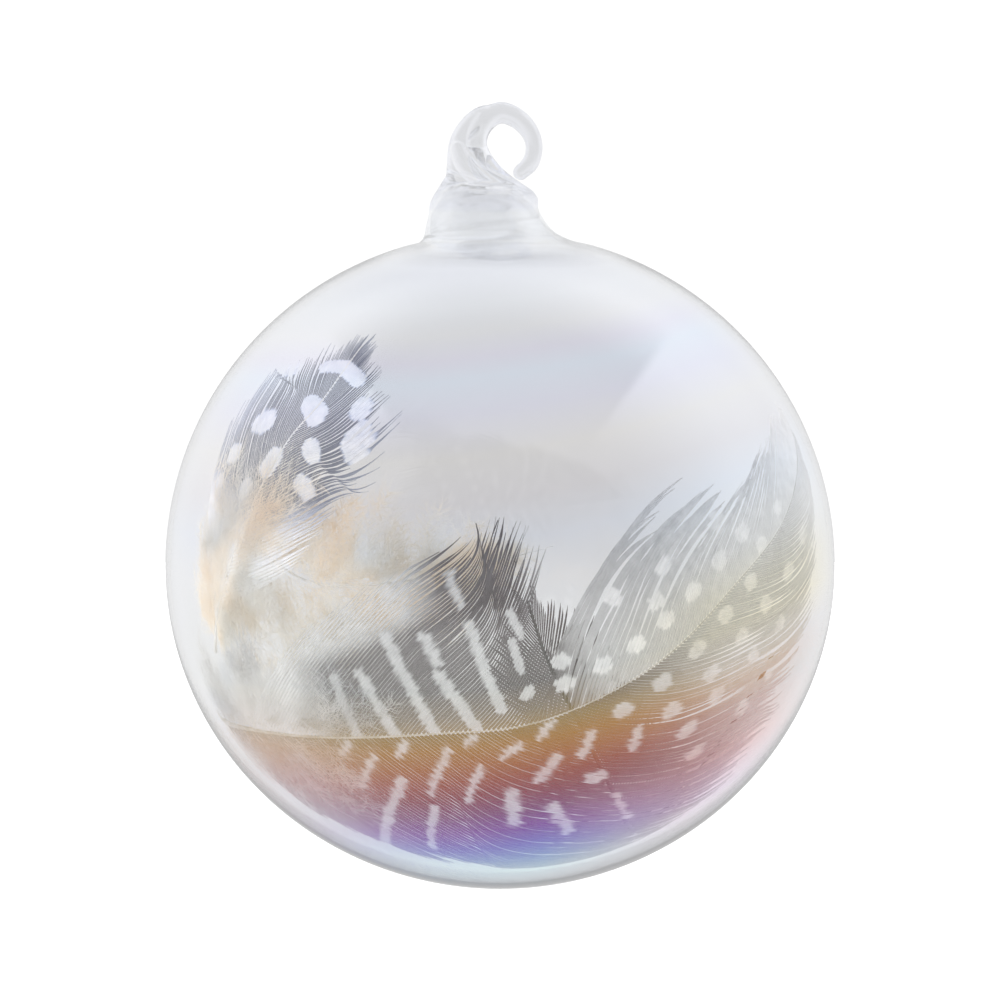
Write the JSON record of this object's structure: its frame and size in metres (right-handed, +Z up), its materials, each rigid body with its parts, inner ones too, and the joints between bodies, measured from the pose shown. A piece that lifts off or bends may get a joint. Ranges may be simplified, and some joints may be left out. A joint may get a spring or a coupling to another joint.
{
  "type": "glass ball ornament",
  "caption": "Clear blown glass ball with a curled glass hanging hook, with loose spotted feathers and a downy plume sealed inside that slide round the glass.",
  "frame": {"origin": "the thread seat, a small flat inside the top of the hook's eye, where the hanging thread bears", "axes": "+Z up, -Y is the front that shows the long barred feather, +X to the right seen from the front; the globe's centre is at -0.5 mm in X and -52.85 mm in Z"},
  "size_m": [0.08, 0.08, 0.0941],
  "materials": {
    "blown_glass": "clear, with a faint pearly lustre",
    "rod_glass": "clear, fire polished, with twisted seams",
    "quill": "horn, satin",
    "vane": "dark grey-brown barbs with white bars and spots",
    "down": "white down",
    "cream_down": "cream down"
  },
  "bodies": {
    "glass": {"glass_globe": "blown_glass", "neck_seal": "rod_glass", "hanging_hook": "rod_glass"},
    "main_feather": {"main_shaft": "quill", "main_upper_vane": "vane", "main_lower_vane": "vane", "main_upper_down": "down", "main_lower_down": "down"},
    "left_feather": {"left_shaft": "quill", "left_outer_vane": "vane", "left_inner_vane": "vane", "left_outer_down": "down", "left_inner_down": "down"},
    "back_feather": {"back_shaft": "quill", "back_left_vane": "vane", "back_right_vane": "vane", "back_left_down": "down", "back_right_down": "down"},
    "downy_plume": {"plume_shaft": "quill", "plume_upper_down": "cream_down", "plume_lower_down": "cream_down"}
  },
  "joints": [
    {"name": "main_feather_slide", "type": "hinge", "parent": "glass", "child": "main_feather", "pos_m": [-0.0005, 0, -0.05285], "axis": [-0.3699, -0.4298, 0.8237], "range_deg": [-15, 15]},
    {"name": "left_feather_slide", "type": "hinge", "parent": "glass", "child": "left_feather", "pos_m": [-0.0005, 0, -0.05285], "axis": [0, 0, 1], "range_deg": [-30, 30]},
    {"name": "back_feather_slide", "type": "hinge", "parent": "glass", "child": "back_feather", "pos_m": [-0.0005, 0, -0.05285], "axis": [0.6982, -0.2171, 0.6822], "range_deg": [-20, 20]},
    {"name": "downy_plume_slide", "type": "hinge", "parent": "glass", "child": "downy_plume", "pos_m": [-0.0005, 0, -0.05285], "axis": [0, 1, 0], "range_deg": [-40, 40]}
  ]
}
